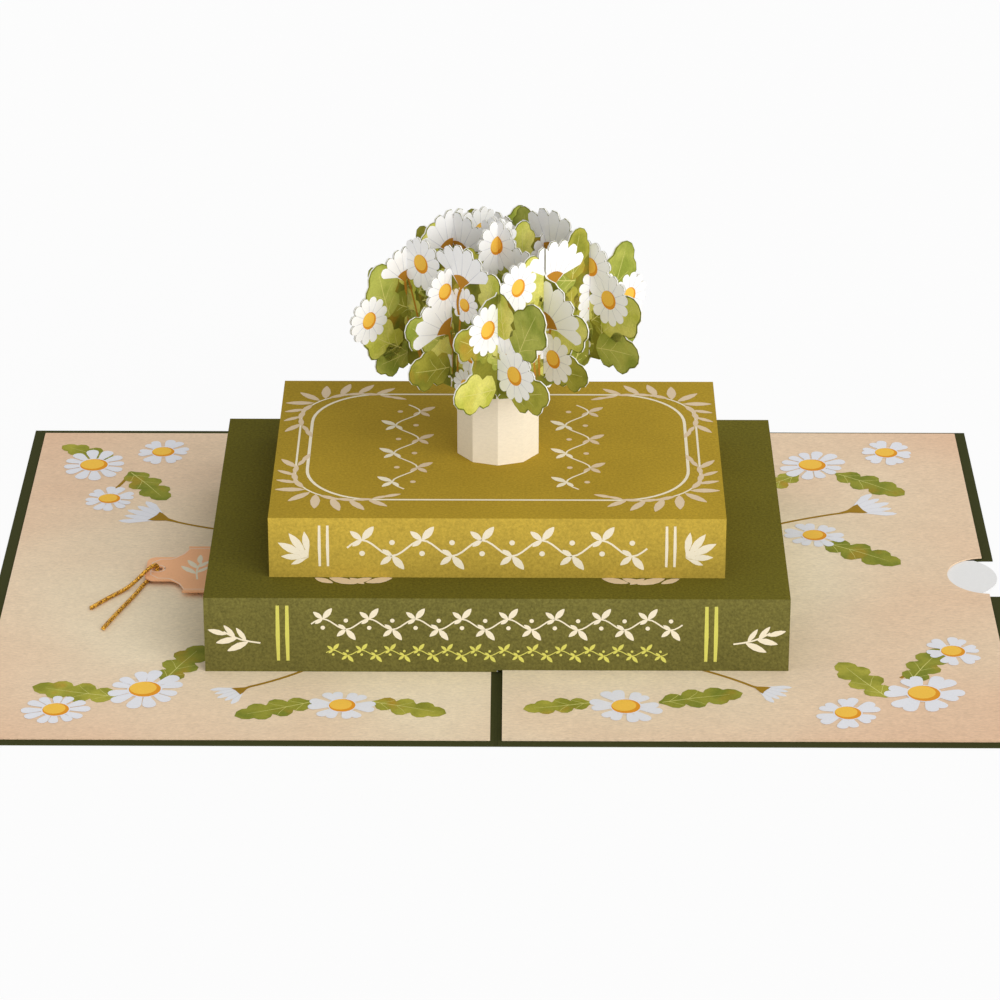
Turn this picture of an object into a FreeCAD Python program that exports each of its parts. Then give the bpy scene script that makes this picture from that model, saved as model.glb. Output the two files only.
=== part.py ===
import FreeCAD, Part
import math
import os

import Sketcher

# A greeting card opened flat, with two stacked paper books and a vase of slotted
# daisy blades standing across its fold. Millimetres; +Z up, the fold runs along Y,
# the reader looks along +Y, and the origin is under the middle of the card.

DRIVING_SIZES = {
    # card, liners, pocket and note
    "card_width": 254.0,
    "card_depth": 178.0,
    "cover_thick": 0.4,
    "score_width": 0.8,
    "score_depth": 0.12,
    "liner_thick": 0.3,
    "liner_side_margin": 2.9,
    "liner_end_margin": 2.2,
    "gutter_width": 2.8,
    "hem_width": 5.0,
    "notch_half": 10.35,
    "notch_straight": 2.3,
    "note_thick": 0.25,
    "pocket_clear": 0.125,
    "note_side_clear": 1.2,
    "note_setback": 2.3,
    "tab_half": 9.3,
    "tab_bulge": 5.0,
    # books and the ribs inside them
    "paper": 0.35,
    "lower_width": 142.0,
    "lower_depth": 105.0,
    "lower_height": 20.0,
    "upper_width": 111.2,
    "upper_depth": 82.2,
    "upper_height": 16.0,
    "flange_depth": 6.0,
    "flange_gap": 1.0,
    "rib_end_clear": 0.3,
    "rib_notch": 0.8,
    "lower_rib_offset": 17.5,
    "upper_rib_offset": 13.7,
    "foot_start": 22.0,
    "foot_length": 14.0,
    "foot_width": 4.0,
    "slot_clear": 0.1,
    # vase
    "vase_radius": 10.68,
    "vase_height": 20.0,
    "vase_tab_depth": 2.2,
    "vase_tab_gap": 0.5,
    # blades of the bouquet
    "blade_pitch": 15.9,
    "blade_lift": 57.3,
    "blade_middle": 78.0,
    "bush_clear": 1.0,
    "bush_top": 91.0,
    "bush_half": 25.0,
    "stem_half": 7.1,
    "stem_tab_start": 2.6,
    "stem_tab_length": 3.2,
    "stem_tab_drop": 0.9,
    # bookmark tag and its cord
    "tag_tip": 89.6,
    "tag_neck": 82.9,
    "tag_shoulder": 79.6,
    "tag_tail": 42.0,
    "tag_centre": 0.5,
    "tag_half": 12.95,
    "tag_head_half": 6.6,
    "tag_corner": 2.6,
    "tag_lift": 1.2,
    "tag_clear": 0.15,
    "tag_hole_x": 86.8,
    "tag_hole_radius": 1.4,
    "cord_radius": 0.55,
}
DIAGONAL = math.sqrt(0.5)
VASE_SIDES = 10
PETALS = 12
BELL_PETALS = 6
BUSH_LOBES = 14
BUSH_FULLNESS = 1.4
# a cut runs this far past the sheet that it opens, in mm
CUT_PAST = 1

doc = FreeCAD.newDocument("PopUpCard")
sheet = doc.addObject("Spreadsheet::Sheet", "Dims")
for row, (alias, length) in enumerate(DRIVING_SIZES.items(), start=1):
    sheet.set(f"A{row}", alias)
    sheet.set(f"B{row}", str(length))
    sheet.setAlias(f"B{row}", alias)
doc.recompute()


class Size:
    """A length that knows its number and the sheet expression that gives it."""

    def __init__(self, value, text):
        self.value = value
        self.text = text

    def _join(self, other, sign, value):
        return Size(value, f"({self.text} {sign} {as_size(other).text})")

    def __add__(self, other):
        return self._join(other, "+", self.value + as_size(other).value)

    def __sub__(self, other):
        return self._join(other, "-", self.value - as_size(other).value)

    def __mul__(self, factor):
        return Size(self.value * factor, f"({self.text} * {factor})")

    def __truediv__(self, divisor):
        return Size(self.value / divisor, f"({self.text} / {divisor})")

    def __neg__(self):
        return Size(-self.value, f"(-1 * {self.text})")


def as_size(number):
    """Turns a plain number into a Size; a Size passes through."""
    return number if isinstance(number, Size) else Size(number, str(number))


def size(alias):
    """The Size of one cell of the sheet."""
    return Size(float(sheet.get(alias)), f"Dims.{alias}")


# sizes that follow from the driving ones
half_width = size("card_width") / 2
half_depth = size("card_depth") / 2
paper = size("paper")
half_paper = paper / 2
slot_half = half_paper + size("slot_clear")
pocket_gap = size("note_thick") + size("pocket_clear") * 2
liner_end = half_depth - size("liner_end_margin")
liner_side = half_width - size("liner_side_margin")
half_gutter = size("gutter_width") / 2
notch_end = half_width - size("notch_straight") - size("notch_half")
left_level = size("cover_thick") + size("liner_thick")
right_level = left_level + pocket_gap
lower_top = left_level + size("lower_height")
upper_top = lower_top + size("upper_height")
ZERO = as_size(0.0)


def new_body(label):
    """An empty body with its label, which also names its file."""
    body = doc.addObject("PartDesign::Body", label)
    body.Label = label
    return body


def lift(body, height):
    """Sets the height at which a body's own base plane lies."""
    body.setExpression("Placement.Base.z", height.text)


def new_sketch(body, name, role, offset=None):
    """A sketch on one of the body's own origin planes, moved along the normal."""
    sketch = body.newObject("Sketcher::SketchObject", name)
    planes = {feature.Role: feature for feature in body.Origin.OriginFeatures}
    sketch.AttachmentSupport = (planes[role], "")
    sketch.MapMode = "FlatFace"
    if offset is not None:
        sketch.setExpression("AttachmentOffset.Base.z", offset.text)
    return sketch


def bind_point(sketch, geometry, position, place):
    """Ties a point of the sketch to two sheet expressions, from the origin."""
    for kind, length in zip(("DistanceX", "DistanceY"), place):
        index = sketch.addConstraint(
            Sketcher.Constraint(kind, -1, 1, geometry, position, length.value))
        sketch.setExpression(f"Constraints[{index}]", length.text)


def upright_arc(first, middle, last):
    """The counterclockwise arc through three points, about an axis pointing up."""
    found = Part.Circle(first, middle, last)
    circle = Part.Circle(found.Center, FreeCAD.Vector(0, 0, 1), found.Radius)
    begin = circle.parameter(first)
    finish = circle.parameter(last)
    if finish < begin:
        finish += 2 * math.pi
    return Part.ArcOfCircle(circle, begin, finish)


def draw_outline(sketch, corners, arcs=None):
    """Draws a closed outline; arcs gives the point that an edge bulges through."""
    arcs = arcs or {}
    corners = [(as_size(x), as_size(y)) for x, y in corners]
    points = [FreeCAD.Vector(x.value, y.value, 0) for x, y in corners]
    ends = []
    for index, start in enumerate(points):
        finish = points[(index + 1) % len(points)]
        if index not in arcs:
            edge = sketch.addGeometry(Part.LineSegment(start, finish), False)
            ends.append((edge, 1, 2))
            continue
        through = tuple(as_size(length) for length in arcs[index])
        middle = FreeCAD.Vector(through[0].value, through[1].value, 0)
        counterclockwise = (middle - start).cross(finish - middle).z > 0
        first, last = (start, finish) if counterclockwise else (finish, start)
        edge = sketch.addGeometry(upright_arc(first, middle, last), False)
        ends.append((edge, 1, 2) if counterclockwise else (edge, 2, 1))
        helper = sketch.addGeometry(Part.Point(middle), True)
        bind_point(sketch, helper, 1, through)
        sketch.addConstraint(Sketcher.Constraint("PointOnObject", helper, 1, edge))
    for index, (edge, first, _) in enumerate(ends):
        before, _, last = ends[index - 1]
        sketch.addConstraint(Sketcher.Constraint("Coincident", before, last, edge, first))
        bind_point(sketch, edge, first, corners[index])


def rectangle(low_x, low_y, high_x, high_y):
    """The four corners of an upright rectangle."""
    return [(low_x, low_y), (high_x, low_y), (high_x, high_y), (low_x, high_y)]


def add_pad(body, sketch, name, length, symmetric=False):
    """Pads a sketch along its normal, or equally to both sides."""
    pad = body.newObject("PartDesign::Pad", name)
    pad.Profile = sketch
    pad.setExpression("Length", length.text)
    if symmetric:
        pad.SideType = "Symmetric"
    return pad


def add_pocket(body, sketch, name, length, upward=False, symmetric=False):
    """Cuts a sketch out of the body and makes sure that material came away."""
    doc.recompute()
    before = body.Shape.Volume
    pocket = body.newObject("PartDesign::Pocket", name)
    pocket.Profile = sketch
    pocket.setExpression("Length", length.text)
    pocket.Reversed = upward
    if symmetric:
        pocket.SideType = "Symmetric"
    doc.recompute()
    if body.Shape.Volume >= before:
        raise RuntimeError(f"{body.Label}: {name} cut nothing")
    return pocket


def notch_outline(low_x, edge_x, half_y, straight):
    """A panel with a round thumb notch in the middle of its right edge."""
    notch = size("notch_half")
    mouth = edge_x - straight
    corners = [(low_x, -half_y), (edge_x, -half_y), (edge_x, -notch)]
    corners += [(mouth, -notch), (mouth, notch)] if straight.value else [(edge_x, notch)]
    corners += [(edge_x, notch)] if straight.value else []
    corners += [(edge_x, half_y), (low_x, half_y)]
    round_edge = 3 if straight.value else 2
    return corners, {round_edge: (notch_end, ZERO)}


def make_cover():
    """The folded card: two panels in one sheet, scored along the fold."""
    body = new_body("cover")
    outline = new_sketch(body, "cover_outline", "XY_Plane")
    draw_outline(outline, *notch_outline(-half_width, half_width, half_depth, size("notch_straight")))
    add_pad(body, outline, "cover_sheet", size("cover_thick"))
    score = new_sketch(body, "cover_score", "XY_Plane", size("cover_thick"))
    half_score = size("score_width") / 2
    draw_outline(score, rectangle(-half_score, -half_depth - CUT_PAST, half_score, half_depth + CUT_PAST))
    add_pocket(body, score, "cover_crease", size("score_depth"))
    return body


def make_left_liner():
    """The printed sheet glued flat on the left panel."""
    body = new_body("left_liner")
    outline = new_sketch(body, "left_liner_outline", "XY_Plane")
    draw_outline(outline, rectangle(-liner_side, -liner_end, -half_gutter, liner_end))
    add_pad(body, outline, "left_liner_sheet", size("liner_thick"))
    lift(body, size("cover_thick"))
    return body


def make_right_liner():
    """The printed sheet of the right panel, hemmed on three sides into a pocket."""
    body = new_body("right_liner")
    hem_x = half_gutter + size("hem_width")
    hem_y = liner_end - size("hem_width")
    hem = new_sketch(body, "right_liner_hem_outline", "XY_Plane")
    draw_outline(hem, [
        (half_gutter, -liner_end), (liner_side, -liner_end), (liner_side, -hem_y), (hem_x, -hem_y),
        (hem_x, hem_y), (liner_side, hem_y), (liner_side, liner_end), (half_gutter, liner_end)])
    add_pad(body, hem, "right_liner_hems", pocket_gap)
    roof = new_sketch(body, "right_liner_outline", "XY_Plane", pocket_gap)
    draw_outline(roof, *notch_outline(half_gutter, liner_side, liner_end, ZERO))
    add_pad(body, roof, "right_liner_sheet", size("liner_thick"))
    lift(body, size("cover_thick"))
    return body


def make_note_card():
    """The slide-out note in the pocket, with its round pull tab in the notch."""
    body = new_body("note_card")
    near = half_gutter + size("hem_width") + size("note_side_clear")
    far = notch_end - size("note_setback")
    side = liner_end - size("hem_width") - size("note_side_clear")
    tab = size("tab_half")
    shoulder = half_width - size("tab_bulge")
    outline = new_sketch(body, "note_card_outline", "XY_Plane")
    draw_outline(outline, [
        (near, -side), (far, -side), (far, -tab), (shoulder, -tab),
        (shoulder, tab), (far, tab), (far, side), (near, side)], {3: (half_width, ZERO)})
    add_pad(body, outline, "note_card_sheet", size("note_thick"))
    lift(body, size("cover_thick") + size("pocket_clear"))
    return body


def flange_outlines(inner_x, inner_y, side):
    """Three mitred glue flanges of one half of a book; side is -1 left, 1 right."""
    deep = size("flange_depth")
    gap = size("flange_gap")
    wall_x = inner_x + half_paper
    wall_y = inner_y + half_paper
    end = [(wall_x, -inner_y + gap), (wall_x, inner_y - gap),
           (inner_x - deep, inner_y - deep - gap), (inner_x - deep, -inner_y + deep + gap)]
    back = [(gap, wall_y), (inner_x - gap, wall_y),
            (inner_x - deep - gap, inner_y - deep), (gap, inner_y - deep)]
    front = [(x, -y) for x, y in back]
    return [[(x * side, y) for x, y in shape] for shape in (end, back, front)]


def make_book(label, width, depth, height, base, step):
    """One paper book: top, four walls and inward glue flanges, open below.

    The right half stands step higher, on the thicker pocket side of the card.
    """
    body = new_body(label)
    half_x = width / 2
    half_y = depth / 2
    inner_x = half_x - paper
    inner_y = half_y - paper
    outer = new_sketch(body, f"{label}_outline", "XY_Plane")
    draw_outline(outer, rectangle(-half_x, -half_y, half_x, half_y))
    add_pad(body, outer, f"{label}_block", height)
    inner = new_sketch(body, f"{label}_inside", "XY_Plane")
    draw_outline(inner, rectangle(-inner_x, -inner_y, inner_x, inner_y))
    add_pocket(body, inner, f"{label}_hollow", height - paper, upward=True)
    if step.value:
        raised = new_sketch(body, f"{label}_raised_side", "XY_Plane")
        draw_outline(raised, rectangle(ZERO, -half_y - CUT_PAST, half_x + CUT_PAST, half_y + CUT_PAST))
        add_pocket(body, raised, f"{label}_step", step, upward=True)
    for side, word, level in ((-1, "left", ZERO), (1, "right", step)):
        flanges = new_sketch(body, f"{label}_{word}_flange_outlines", "XY_Plane", level)
        for shape in flange_outlines(inner_x, inner_y, side):
            draw_outline(flanges, shape)
        add_pad(body, flanges, f"{label}_{word}_flanges", paper)
    lift(body, base)
    return body


def cut_tag_slot(body):
    """The slit in the lower book's left wall that the bookmark tag goes into."""
    slot = new_sketch(body, "tag_slot", "YZ_Plane", size("lower_width") / -2)
    clear = size("tag_clear")
    low = size("tag_lift") - clear
    high = size("tag_lift") + paper + clear
    reach = size("tag_half") + clear
    centre = size("tag_centre")
    draw_outline(slot, rectangle(centre - reach, low, centre + reach, high))
    add_pocket(body, slot, "tag_slit", paper * 4, symmetric=True)


def cut_stem_slots(body, height):
    """Four diagonal slits in the upper book's top for the tabs of the two stems."""
    slots = new_sketch(body, "stem_slots", "XY_Plane", height)
    near = size("stem_tab_start") - size("slot_clear")
    far = size("stem_tab_start") + size("stem_tab_length") + size("slot_clear")
    for across in (1, -1):
        for along in (1, -1):
            places = [(near * along, -slot_half), (far * along, -slot_half),
                      (far * along, slot_half), (near * along, slot_half)]
            draw_outline(slots, [
                ((u + w) * DIAGONAL, (u - w) * (DIAGONAL * across)) for u, w in places])
    add_pocket(body, slots, "stem_slits", paper * 2)


def make_spine_rib(label, depth, bottom, top, middle, rib_offset):
    """The upright sheet under the fold, slotted from above for the cross ribs."""
    body = new_body(label)
    end = depth / 2 - paper - size("rib_end_clear")
    floor = middle - bottom - size("slot_clear")
    tall = top - bottom
    corners = [(-end, ZERO), (end, ZERO), (end, tall)]
    for centre in (rib_offset, -rib_offset):
        corners += [(centre + slot_half, tall), (centre + slot_half, floor),
                    (centre - slot_half, floor), (centre - slot_half, tall)]
    corners += [(-end, tall)]
    outline = new_sketch(body, f"{label}_outline", "YZ_Plane")
    draw_outline(outline, corners)
    add_pad(body, outline, f"{label}_sheet", paper, symmetric=True)
    lift(body, bottom)
    return body


def make_cross_rib(label, width, bottom, top, middle, step, place_y, foot_side):
    """A sheet across the fold, slotted from below, with two folded glue feet."""
    body = new_body(label)
    end = width / 2 - paper - size("rib_end_clear")
    inset = end - size("flange_depth") - size("flange_gap")
    low = size("rib_notch")
    roof = middle - bottom + size("slot_clear")
    tall = top - bottom
    outline = new_sketch(body, f"{label}_outline", "XZ_Plane")
    draw_outline(outline, [
        (-inset, ZERO), (-slot_half, ZERO), (-slot_half, roof), (slot_half, roof),
        (slot_half, step), (inset, step), (inset, step + low), (end, step + low),
        (end, tall), (-end, tall), (-end, low), (-inset, low)])
    add_pad(body, outline, f"{label}_sheet", paper, symmetric=True)
    near = size("foot_start")
    far = near + size("foot_length")
    reach = size("foot_width") * foot_side
    for side, word, level in ((-1, "left", ZERO), (1, "right", step)):
        foot = new_sketch(body, f"{label}_{word}_foot_outline", "XY_Plane", level)
        draw_outline(foot, rectangle(near * side, ZERO, far * side, reach))
        add_pad(body, foot, f"{label}_{word}_foot", paper)
    lift(body, bottom)
    body.setExpression("Placement.Base.y", place_y.text)
    return body


def make_book_ribs(prefix, width, depth, spine_bottom, base, top, rib_offset, step):
    """The three slotted ribs that hold one book's top at its height."""
    ceiling = top - paper
    middle = (base + ceiling) / 2
    return [
        make_spine_rib(f"{prefix}_spine_rib", depth, spine_bottom, ceiling, middle, rib_offset),
        make_cross_rib(f"{prefix}_cross_rib_front", width, base, ceiling, middle, step, -rib_offset, -1),
        make_cross_rib(f"{prefix}_cross_rib_back", width, base, ceiling, middle, step, rib_offset, 1),
    ]


def add_prism(name, radius):
    """An upright ten-sided prism with one corner towards the reader."""
    prism = doc.addObject("Part::Prism", name)
    prism.Polygon = VASE_SIDES
    prism.setExpression("Circumradius", radius.text)
    prism.setExpression("Height", size("vase_height").text)
    prism.setExpression("Placement.Base.z", upper_top.text)
    prism.Placement.Rotation = FreeCAD.Rotation(FreeCAD.Vector(0, 0, 1), -90)
    return prism


def make_vase():
    """The vase: a strip folded into ten sides, with a glue tab under each."""
    half_turn = math.pi / VASE_SIDES
    inner_radius = size("vase_radius") - paper / math.cos(half_turn)
    wall = doc.addObject("Part::Cut", "vase_wall")
    wall.Base = add_prism("vase_outside", size("vase_radius"))
    wall.Tool = add_prism("vase_inside", inner_radius)
    apothem = inner_radius.value * math.cos(half_turn)
    gap = size("vase_tab_gap").value
    seat = apothem + half_paper.value
    tip = apothem - size("vase_tab_depth").value
    seat_half = apothem * math.tan(half_turn) - gap
    tip_half = tip * math.tan(half_turn) - gap
    tabs = []
    for side in range(VASE_SIDES):
        facing = 2 * half_turn * side
        corners = [(seat, -seat_half), (seat, seat_half), (tip, tip_half), (tip, -tip_half)]
        points = [FreeCAD.Vector(x, y, upper_top.value) for x, y in corners]
        face = Part.Face(Part.makePolygon(points + points[:1]))
        tab = face.extrude(FreeCAD.Vector(0, 0, paper.value))
        tab.rotate(FreeCAD.Vector(0, 0, 0), FreeCAD.Vector(0, 0, 1), math.degrees(facing))
        tabs.append(tab)
    ring = doc.addObject("Part::Feature", "vase_tabs")
    ring.Shape = Part.makeCompound(tabs)
    vase = doc.addObject("Part::Fuse", "vase")
    vase.Label = "vase"
    vase.Base = wall
    vase.Tool = ring
    vase.Refine = True
    return vase


def flat_point(u, v):
    """A point of a blade's own plane: u along the sheet, v up."""
    return FreeCAD.Vector(u, 0, v)


def placed(u, v, reach, angle, shape):
    """Puts a motif's own points (ahead, to the left) into the blade's plane."""
    cosine = math.cos(math.radians(angle)) * reach
    sine = math.sin(math.radians(angle)) * reach
    return [flat_point(u + p * cosine - q * sine, v + p * sine + q * cosine) for p, q in shape]


def cut_face(points):
    """The face inside a closed line of short straight cuts."""
    return Part.Face(Part.makePolygon(points + points[:1]))


# how far the cut reaches across one petal or lobe: share of its width, reach
ROUND_PETAL = ((0.0, 0.80), (0.22, 0.95), (0.5, 1.0), (0.78, 0.95))
BROAD_LOBE = ((0.0, 0.94), (0.3, 1.0), (0.7, 1.0))


def lobed_face(u, v, reach_u, reach_v, lobes, profile, fullness=1.0):
    """Equal lobes about an ellipse; fullness above one fills the ellipse's corners."""
    points = []
    for lobe in range(lobes):
        for share, reach in profile:
            angle = 2 * math.pi * (lobe + share) / lobes
            across = math.copysign(abs(math.cos(angle)) ** (1 / fullness), math.cos(angle))
            upward = math.copysign(abs(math.sin(angle)) ** (1 / fullness), math.sin(angle))
            points.append(flat_point(u + reach * reach_u * across, v + reach * reach_v * upward))
    return cut_face(points)


def daisy_face(u, v, reach, angle):
    """An open daisy seen from the front: a ring of round petal tips."""
    return lobed_face(u, v, reach, reach, PETALS, ROUND_PETAL)


def leaf_face(u, v, reach, angle):
    """A lobed leaf from its stalk at u, v to its tip, reach long."""
    side = [(0.05, 0.14), (0.14, 0.28), (0.27, 0.31), (0.37, 0.25), (0.45, 0.34), (0.57, 0.38),
            (0.68, 0.33), (0.75, 0.25), (0.87, 0.22), (0.97, 0.12)]
    other_side = [(p, -q) for p, q in reversed(side)]
    return cut_face(placed(u, v, reach, angle, [(0.0, 0.0)] + side + [(1.0, 0.0)] + other_side))


def bell_face(u, v, reach, angle):
    """A half-open daisy seen from the side: a fan of petals above its calyx."""
    spread = 62
    shape = [(0.0, 0.0), (0.22, -0.26)]
    for petal in range(BELL_PETALS):
        for share, length in ((0.0, 0.84), (0.3, 0.97), (0.7, 0.97)):
            turn = math.radians(2 * spread * (petal + share) / BELL_PETALS - spread)
            shape.append((length * math.cos(turn), length * math.sin(turn)))
    edge = math.radians(spread)
    shape += [(0.84 * math.cos(edge), 0.84 * math.sin(edge)), (0.22, 0.26)]
    return cut_face(placed(u, v, reach, angle, shape))


MOTIFS = {"daisy": daisy_face, "leaf": leaf_face, "bell": bell_face}

# the bush that the sprays below are drawn on, in mm: they stretch with the real one
DRAWN_LOW = 58.3
DRAWN_TOP = 91.0
DRAWN_HALF = 25.0

# flowers and leaves of the six blades: kind, place along, height, size, direction
SPRAYS = {
    "blade_a_front": [
        ("daisy", -19.5, 79.5, 6.6, 0), ("leaf", -19.5, 74.5, 12.5, 152),
        ("leaf", -16.5, 63.0, 14.5, 172), ("daisy", -9.2, 87.5, 6.4, 0), ("leaf", -3.5, 82.0, 12.5, 96),
        ("bell", 3.0, 84.5, 12.0, 80), ("leaf", 9.5, 84.0, 13.5, 78), ("daisy", 18.0, 79.5, 6.2, 0),
        ("leaf", 23.5, 73.5, 16.5, 70), ("daisy", 30.0, 74.0, 6.2, 0), ("leaf", 20.0, 65.0, 13.5, -6),
    ],
    "blade_a_middle": [
        ("daisy", -0.5, 91.6, 6.8, 0), ("leaf", 8.5, 83.5, 12.0, 92), ("daisy", -18.5, 84.5, 6.0, 0),
        ("bell", -17.0, 73.0, 12.8, 125), ("leaf", -20.5, 72.0, 13.0, 146),
        ("leaf", -16.5, 64.0, 14.5, 170), ("daisy", 17.0, 84.0, 6.4, 0), ("leaf", 21.0, 76.0, 13.0, 48),
        ("daisy", 26.5, 70.0, 6.1, 0), ("leaf", 19.0, 64.0, 13.5, -4), ("leaf", -8.5, 82.5, 11.5, 104),
    ],
    "blade_a_back": [
        ("daisy", -29.0, 75.2, 6.2, 0), ("leaf", -22.0, 74.0, 15.5, 106), ("leaf", -18.0, 64.5, 15.0, 147),
        ("leaf", -14.5, 63.0, 12.5, 184), ("bell", -16.8, 82.0, 9.5, 97), ("leaf", -8.5, 84.5, 10.5, 80),
        ("bell", -1.5, 85.5, 11.5, 100), ("daisy", 9.2, 88.0, 6.4, 0), ("leaf", 18.0, 80.0, 12.5, 60),
        ("daisy", 26.5, 76.5, 6.2, 0), ("leaf", 19.5, 66.0, 13.5, 4),
    ],
    "blade_b_front": [
        ("daisy", 22.0, 68.2, 6.8, 0), ("leaf", 18.5, 76.5, 12.0, 98), ("leaf", 23.0, 73.5, 16.5, 64),
        ("leaf", 20.5, 62.0, 14.0, 22), ("daisy", -10.5, 88.0, 6.8, 0), ("bell", 3.5, 85.5, 11.5, 86),
        ("leaf", 11.5, 82.0, 11.0, 70), ("leaf", -19.0, 75.0, 12.0, 152), ("daisy", -26.0, 70.5, 6.0, 0),
        ("leaf", -17.0, 64.0, 12.5, 180),
    ],
    "blade_b_middle": [
        ("daisy", -0.5, 91.6, 6.8, 0), ("bell", -13.5, 85.0, 11.5, 82), ("leaf", -20.0, 77.5, 13.5, 125),
        ("bell", 8.0, 83.0, 10.0, 88), ("bell", 16.5, 74.5, 13.0, 54), ("leaf", 19.5, 71.0, 14.0, 38),
        ("daisy", 19.5, 67.0, 6.6, 0), ("leaf", 19.0, 64.0, 12.5, 8), ("daisy", -26.5, 71.0, 6.1, 0),
        ("leaf", -17.0, 63.5, 13.0, 178),
    ],
    "blade_b_back": [
        ("leaf", -6.0, 83.0, 12.5, 92), ("bell", 3.0, 84.5, 13.0, 96), ("daisy", 16.5, 86.0, 6.8, 0),
        ("daisy", 22.8, 79.0, 6.8, 0), ("leaf", 21.0, 70.0, 16.0, 42), ("leaf", 18.5, 65.0, 15.0, 8),
        ("leaf", -20.5, 77.0, 13.5, 112), ("bell", -15.5, 81.5, 10.0, 104), ("daisy", -27.0, 72.0, 6.1, 0),
        ("leaf", -17.0, 64.0, 13.0, 180),
    ],
}


def box_between(low, high):
    """A box of a blade's own plane, through its full thickness and a little more."""
    thick = paper.value * 3
    return Part.makeBox(high[0] - low[0], thick, high[1] - low[1],
                        FreeCAD.Vector(low[0], -thick / 2, low[1]))


def blade_solid(spray, slots_from_above, with_stem):
    """One flat die-cut blade of the bouquet, in its own plane, with its slots."""
    bush_low = size("blade_lift").value + size("bush_clear").value
    bush_high = size("bush_top").value
    bush_half = size("bush_half").value
    bush_middle = (bush_low + bush_high) / 2
    bush_reach = (bush_high - bush_low) / 2
    across = bush_half / DRAWN_HALF
    upward = (bush_high - bush_low) / (DRAWN_TOP - DRAWN_LOW)
    faces = [lobed_face(0, bush_middle, bush_half, bush_reach, BUSH_LOBES, BROAD_LOBE, BUSH_FULLNESS)]
    for kind, u, v, reach, angle in spray:
        height = bush_low + (v - DRAWN_LOW) * upward
        faces.append(MOTIFS[kind](u * across, height, reach * across, angle))
    depth = paper.value
    plates = [face.extrude(FreeCAD.Vector(0, depth, 0)) for face in faces]
    solid = plates[0].multiFuse(plates[1:])
    solid.translate(FreeCAD.Vector(0, -depth / 2, 0))
    if with_stem:
        solid = add_stem(solid, bush_middle)
    half = slot_half.value
    middle = bush_low + (size("blade_middle").value - DRAWN_LOW) * upward
    clear = size("slot_clear").value
    for crossing in (-1, 0, 1):
        centre = crossing * size("blade_pitch").value
        if slots_from_above:
            low, high = middle - clear, bush_high * 2
        else:
            low, high = 0.0, middle + clear
        solid = solid.cut(box_between((centre - half, low), (centre + half, high)))
    return solid.removeSplitter()


def add_stem(solid, up_to):
    """Adds the stem that stands in the vase and its two tabs through the book."""
    half = size("stem_half").value
    seat = upper_top.value
    depth = paper.value
    pieces = [Part.makeBox(2 * half, depth, up_to - seat, FreeCAD.Vector(-half, -depth / 2, seat))]
    near = size("stem_tab_start").value
    long = size("stem_tab_length").value
    drop = size("stem_tab_drop").value
    for start in (near, -near - long):
        pieces.append(Part.makeBox(long, depth, drop, FreeCAD.Vector(start, -depth / 2, seat - drop)))
    return solid.multiFuse(pieces)


def make_blade(label, family, row):
    """Places a blade: family 1 runs to the back right, -1 to the front right."""
    blade = doc.addObject("Part::Feature", label)
    blade.Label = label
    blade.Shape = blade_solid(SPRAYS[label], family > 0, row == 0)
    offset = row * size("blade_pitch").value * DIAGONAL
    place = FreeCAD.Vector(offset, -offset * family, 0)
    turn = FreeCAD.Rotation(FreeCAD.Vector(0, 0, 1), 45 * family)
    blade.Placement = FreeCAD.Placement(place, turn)
    return blade


def make_bouquet():
    """Six blades, three each way, slotted into one another like an egg crate."""
    return [
        make_blade("blade_a_front", 1, 1),
        make_blade("blade_a_middle", 1, 0),
        make_blade("blade_a_back", 1, -1),
        make_blade("blade_b_front", -1, -1),
        make_blade("blade_b_middle", -1, 0),
        make_blade("blade_b_back", -1, 1),
    ]


def make_tag():
    """The bookmark: a narrow rounded head with a hole, shoulders and a long tail."""
    body = new_body("bookmark_tag")
    centre = size("tag_centre")
    tip = -size("tag_tip")
    neck = -size("tag_neck")
    shoulder = -size("tag_shoulder")
    tail = -size("tag_tail")
    corner = size("tag_corner")
    head = size("tag_head_half")
    half = size("tag_half")
    bulge = corner * (1 - DIAGONAL)
    hollow = (half - head) * 0.36
    outline = new_sketch(body, "bookmark_tag_outline", "XY_Plane")
    corners = [(tail, centre - half), (tail, centre + half), (shoulder, centre + half),
               (neck, centre + head), (tip + corner, centre + head), (tip, centre + head - corner),
               (tip, centre - head + corner), (tip + corner, centre - head),
               (neck, centre - head), (shoulder, centre - half)]
    inward = (neck + shoulder) / 2 + hollow * 0.4
    arcs = {2: (inward, centre + head + hollow),
            4: (tip + bulge, centre + head - bulge),
            6: (tip + bulge, centre - head + bulge),
            8: (inward, centre - head - hollow)}
    draw_outline(outline, corners, arcs)
    add_pad(body, outline, "bookmark_tag_sheet", paper)
    hole = new_sketch(body, "bookmark_tag_hole_outline", "XY_Plane", paper)
    radius = size("tag_hole_radius")
    hole_x = -size("tag_hole_x")
    draw_outline(hole, [(hole_x - radius, centre), (hole_x + radius, centre)],
                 {0: (hole_x, centre - radius), 1: (hole_x, centre + radius)})
    add_pocket(body, hole, "bookmark_tag_hole", paper * 2)
    lift(body, left_level + size("tag_lift"))
    return body


# centre line of the cord, from one cut end over the tag's head, down through its
# hole, back under it and out to the other cut end
CORD_ROUTE = [
    (-101.9, -19.9, 1.30), (-98.2, -14.3, 1.30), (-93.9, -9.3, 1.30), (-91.3, -5.6, 2.20),
    (-89.0, -2.5, 3.55), (-86.8, 0.5, 3.75), (-86.8, 0.5, 1.30), (-87.9, -2.4, 1.30),
    (-89.7, -6.4, 1.30), (-91.6, -13.1, 1.30), (-95.0, -22.2, 1.30), (-97.9, -31.2, 1.30),
]
CORD_BEND_SHARE = 0.45


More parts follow.
